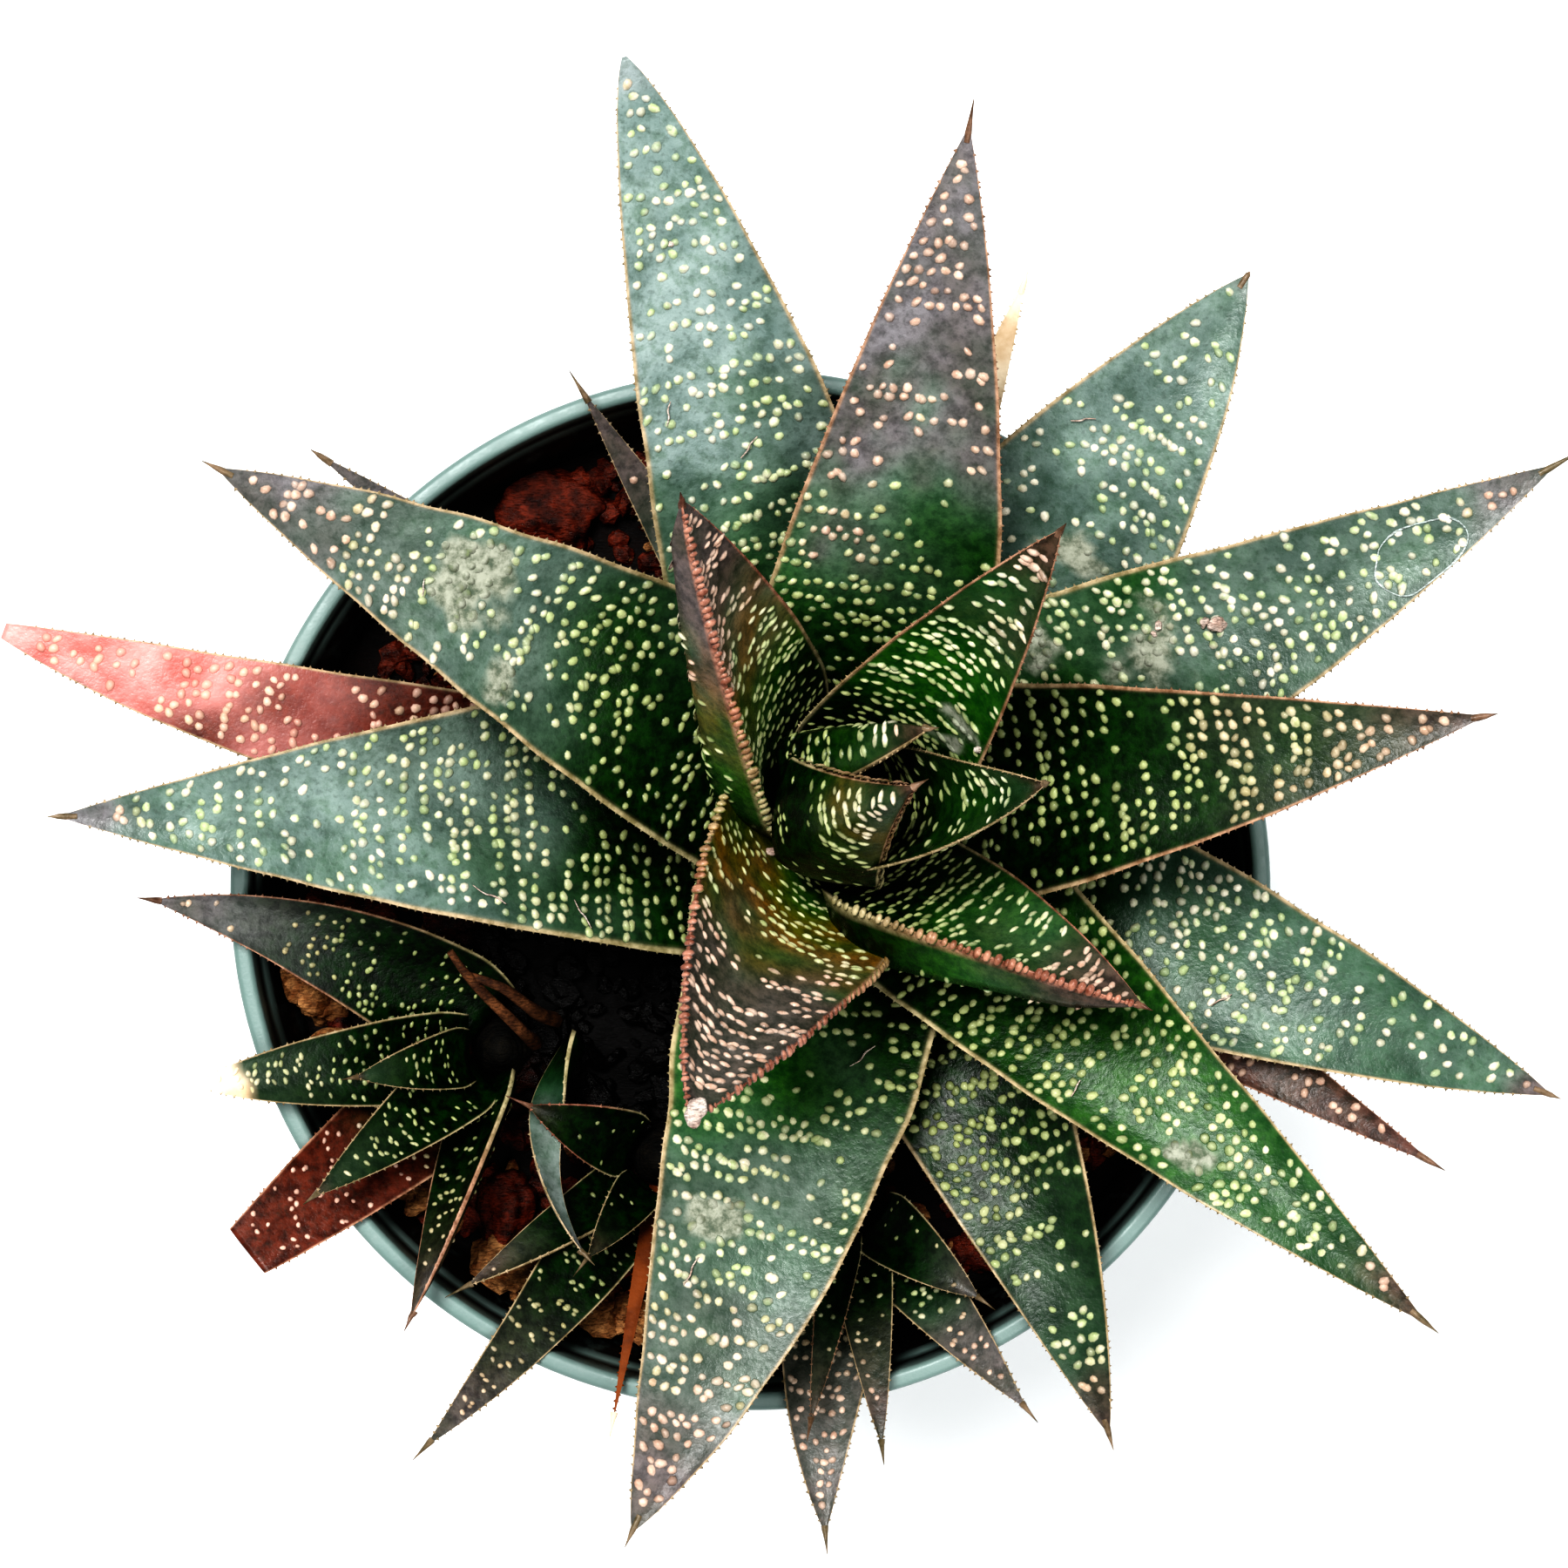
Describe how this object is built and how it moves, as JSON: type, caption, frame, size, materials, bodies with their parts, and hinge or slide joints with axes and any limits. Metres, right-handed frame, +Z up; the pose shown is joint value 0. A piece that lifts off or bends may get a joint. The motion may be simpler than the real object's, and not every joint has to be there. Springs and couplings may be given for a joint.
{
  "type": "potted gasteria",
  "caption": "Small warty-leaved gasteria rosette with offsets, growing from gritty mix in a round tapered plastic nursery pot.",
  "frame": {"origin": "centre of the pot's flat underside", "axes": "+Z up along the pot's axis, +Y towards the longest upper leaf, +X towards the right-hand leaves seen from above"},
  "size_m": [0.1489, 0.138, 0.14],
  "materials": {
    "pot_plastic": "satin grey-teal",
    "growing_mix": "damp bark and grit",
    "stem_cork": "dull",
    "leaf_green": "satin, dark green with cream raised dots",
    "leaf_red": "satin, salmon red with pale dots",
    "dry_straw": "dry and dull",
    "pumice_chip": "rough",
    "bark_chip": "rough, slightly glossy"
  },
  "bodies": {
    "root": {"chip_01": "pumice_chip", "chip_02": "pumice_chip", "chip_03": "pumice_chip", "chip_04": "bark_chip", "chip_05": "pumice_chip", "chip_06": "bark_chip", "chip_07": "bark_chip", "chip_08": "bark_chip", "chip_09": "bark_chip", "chip_10": "bark_chip", "flower_stalk_1": "dry_straw", "flower_stalk_2": "dry_straw", "leaf_01": "leaf_green", "leaf_02": "leaf_green", "leaf_03": "dry_straw", "leaf_04": "leaf_red", "leaf_05": "leaf_green", "leaf_06": "leaf_green", "leaf_07": "leaf_green", "leaf_08": "leaf_green", "leaf_09": "leaf_green", "leaf_10": "leaf_green", "leaf_11": "leaf_green", "leaf_12": "leaf_green", "leaf_13": "leaf_green", "leaf_14": "leaf_green", "leaf_15": "leaf_green", "leaf_16": "leaf_green", "leaf_17": "leaf_green", "leaf_18": "leaf_green", "leaf_19": "leaf_green", "leaf_20": "leaf_green", "leaf_21": "leaf_green", "leaf_22": "leaf_green", "leaf_23": "leaf_green", "pot": "pot_plastic", "pup_centre_leaf_1": "leaf_green", "pup_centre_leaf_2": "leaf_green", "pup_centre_leaf_3": "leaf_green", "pup_centre_leaf_4": "leaf_green", "pup_centre_leaf_5": "dry_straw", "pup_front_leaf_1": "leaf_green", "pup_front_leaf_2": "leaf_green", "pup_front_leaf_3": "leaf_green", "pup_front_leaf_4": "leaf_green", "pup_front_leaf_5": "leaf_green", "pup_left_leaf_1": "leaf_green", "pup_left_leaf_2": "leaf_red", "pup_left_leaf_3": "leaf_green", "pup_left_leaf_4": "leaf_green", "pup_left_leaf_5": "leaf_green", "pup_left_leaf_6": "leaf_green", "pup_left_leaf_7": "leaf_green", "soil": "growing_mix", "stem_main": "stem_cork", "stem_pup_centre": "stem_cork", "stem_pup_front": "stem_cork", "stem_pup_left": "stem_cork"}
  },
  "joints": []
}
